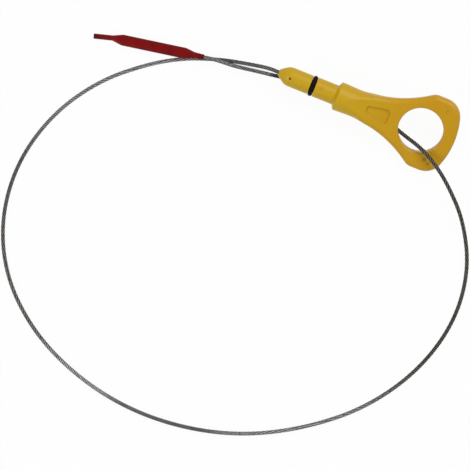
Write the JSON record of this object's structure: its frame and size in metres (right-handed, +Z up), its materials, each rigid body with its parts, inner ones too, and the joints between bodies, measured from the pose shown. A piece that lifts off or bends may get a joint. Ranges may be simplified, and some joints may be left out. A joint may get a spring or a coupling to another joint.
{
  "type": "engine oil dipstick",
  "caption": "Flexible oil dipstick: moulded finger-ring handle with a sealed tube plug, a stranded steel rope coiled through the ring, and a flat level tip on its end.",
  "frame": {"origin": "centre of the conical seat, where the plug's neck meets the shoulder that closes the guide tube", "axes": "+X along the plug's axis from the nose to the finger ring, +Z up from the table that the dipstick lies on"},
  "size_m": [0.2303, 0.2, 0.0176],
  "materials": {
    "yellow_moulding": "yellow injection-moulded nylon, fine satin grain",
    "seal_rubber": "black nitrile, smooth moulded",
    "rope_steel": "stranded bright steel wire, oiled",
    "red_moulding": "red moulded plastic, satin"
  },
  "bodies": {
    "root": {"handle": "yellow_moulding", "o_ring": "seal_rubber", "wire_rope": "rope_steel", "level_tip": "red_moulding"}
  },
  "joints": []
}
